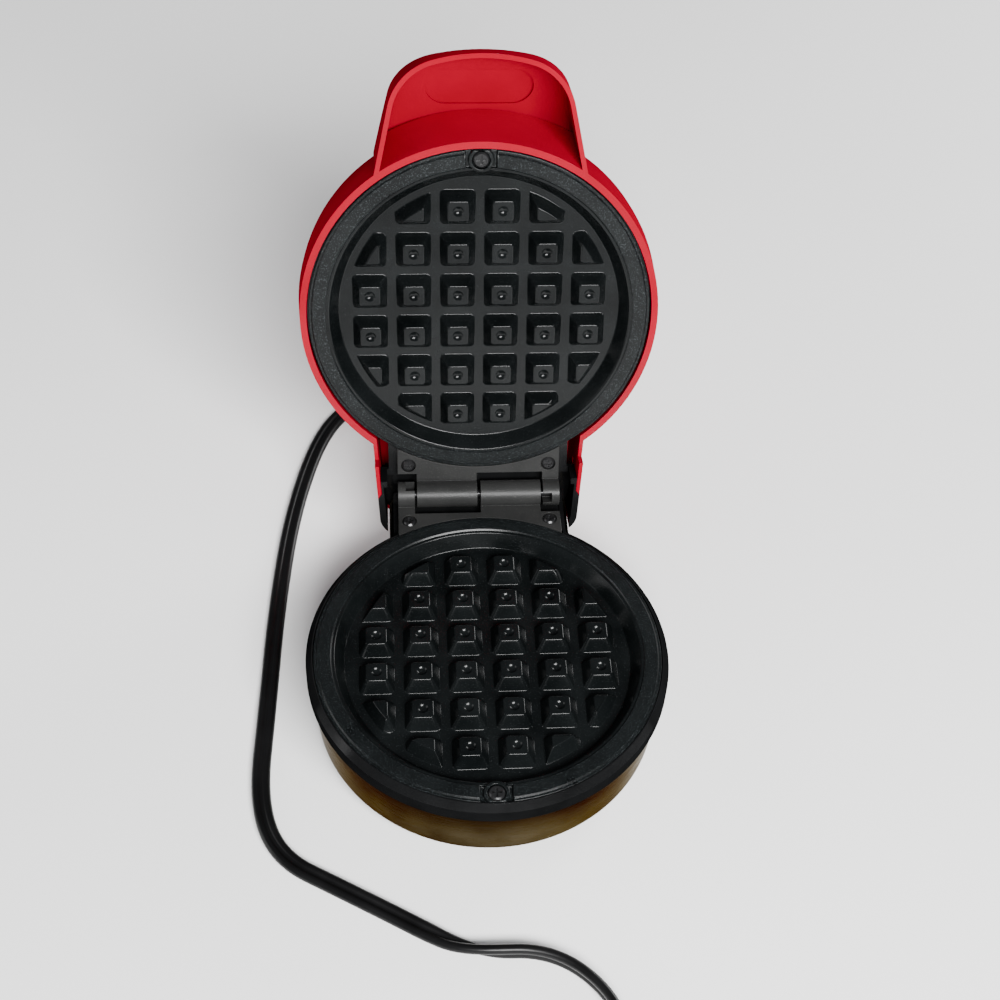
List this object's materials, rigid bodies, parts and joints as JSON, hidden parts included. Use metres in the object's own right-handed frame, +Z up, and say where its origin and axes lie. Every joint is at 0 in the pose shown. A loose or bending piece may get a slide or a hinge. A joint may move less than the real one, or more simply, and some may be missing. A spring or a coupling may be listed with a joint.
{
  "type": "mini waffle maker",
  "caption": "Round countertop waffle maker: a low steel-sided base and a hinged domed lid with a scooped handle, each holding a square-grid non-stick waffle plate.",
  "frame": {"origin": "on the plane that the feet stand on, under the centre of the round lower plate", "axes": "+X to the right of a person who faces the front, +Y from the front to the hinge at the back, +Z up; modelled at rest with the lid open against its stop"},
  "size_m": [0.1503, 0.3232, 0.1853],
  "materials": {
    "red_gloss": "glossy red moulded plastic",
    "black_plastic": "satin black heat-resistant moulded plastic",
    "black_plastic_fine": "black moulded plastic with a fine speckle",
    "nonstick": "cast aluminium under a black non-stick coat, grained on the rim",
    "steel": "polished stainless steel with a warm brown reflection",
    "bright_steel": "plain steel",
    "black_screw": "black oxide on steel",
    "reflector": "bright rolled sheet",
    "heater_sheath": "drawn tube, dull grey",
    "foot_rubber": "matt black rubber",
    "cord_vinyl": "satin black flexible vinyl",
    "brass_blades": "nickel-toned brass strip",
    "lens": "clear red plastic lens",
    "lamp_body": "off-white moulded plastic"
  },
  "bodies": {
    "base": {"base_frame": "black_plastic", "base_shell": "steel", "bottom_cover": "black_plastic", "bottom_screws": "black_screw", "feet": "foot_rubber", "hinge_pin": "black_screw", "lower_heater": "heater_sheath", "lower_hinge_bracket": "black_plastic_fine", "lower_hinge_screws": "black_screw", "lower_plate": "nonstick", "lower_plate_screw": "black_screw", "lower_reflector": "reflector", "plug": "cord_vinyl", "plug_blades": "brass_blades", "power_cord": "cord_vinyl", "strain_relief": "cord_vinyl", "terminal_block": "lamp_body", "thermal_fuse": "bright_steel", "thermostat": "bright_steel"},
    "lid": {"indicator_lamp": "lamp_body", "indicator_lens": "lens", "lid_cover": "red_gloss", "lid_frame": "black_plastic", "upper_heater": "heater_sheath", "upper_hinge_bracket": "black_plastic_fine", "upper_hinge_screws": "black_screw", "upper_plate": "nonstick", "upper_plate_screw": "black_screw", "upper_reflector": "reflector"}
  },
  "joints": [
    {"name": "lid_hinge", "type": "hinge", "parent": "base", "child": "lid", "pos_m": [0, 0.069, 0.0355], "axis": [1, 0, 0], "range_deg": [0, 109.6]}
  ]
}
